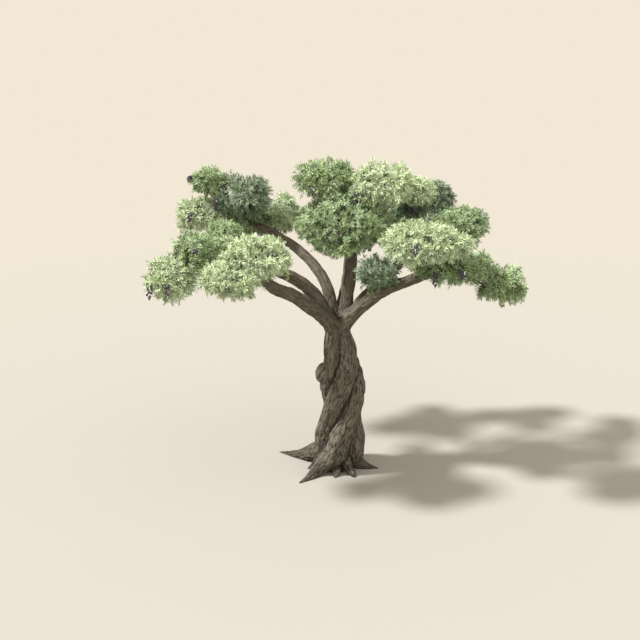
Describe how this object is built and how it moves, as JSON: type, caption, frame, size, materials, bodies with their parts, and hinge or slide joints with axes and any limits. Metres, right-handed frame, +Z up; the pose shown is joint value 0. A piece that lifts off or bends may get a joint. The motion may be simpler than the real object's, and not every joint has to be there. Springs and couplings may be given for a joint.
{
  "type": "olive tree",
  "caption": "Old olive tree: a thick trunk of twisted strands on spreading root spurs, forking into curved boughs that carry separate rounded masses of grey-green leaves.",
  "frame": {"origin": "centre of the flat cut under the trunk, at ground level", "axes": "+Z straight up; +X to the right and +Y to the back, as seen from the front"},
  "size_m": [5.57, 4.36, 5],
  "materials": {
    "bark": "rough grey-brown bark, ridged along the grain",
    "leaves_pale": "leathery leaves, pale silvery green",
    "leaves_mid": "leathery leaves, grey-green",
    "leaves_dark": "leathery leaves, deep grey-green"
  },
  "bodies": {
    "root": {"bough_back": "bark", "bough_centre": "bark", "bough_left_back": "bark", "bough_left_front": "bark", "bough_left_side": "bark", "bough_right_back": "bark", "bough_right_front": "bark", "bough_right_side": "bark", "foliage_back_far_left": "leaves_dark", "foliage_back_far_right": "leaves_mid", "foliage_back_left": "leaves_mid", "foliage_back_right": "leaves_pale", "foliage_back_upper": "leaves_mid", "foliage_centre_middle": "leaves_mid", "foliage_centre_shoulder": "leaves_pale", "foliage_centre_top_left": "leaves_mid", "foliage_centre_top_right": "leaves_pale", "foliage_left_back_crest": "leaves_mid", "foliage_left_back_inner": "leaves_pale", "foliage_left_back_lower": "leaves_mid", "foliage_left_back_outer": "leaves_pale", "foliage_left_back_upper": "leaves_dark", "foliage_left_front_lower": "leaves_pale", "foliage_left_front_tip": "leaves_pale", "foliage_left_front_upper": "leaves_pale", "foliage_left_side_inner": "leaves_pale", "foliage_left_side_outer": "leaves_mid", "foliage_left_side_upper": "leaves_mid", "foliage_right_back_inner": "leaves_dark", "foliage_right_back_middle": "leaves_mid", "foliage_right_back_outer": "leaves_dark", "foliage_right_back_upper": "leaves_dark", "foliage_right_front_inner": "leaves_dark", "foliage_right_front_lower": "leaves_mid", "foliage_right_front_tip": "leaves_mid", "foliage_right_front_upper": "leaves_pale", "foliage_right_side_inner": "leaves_mid", "trunk": "bark"}
  },
  "joints": []
}
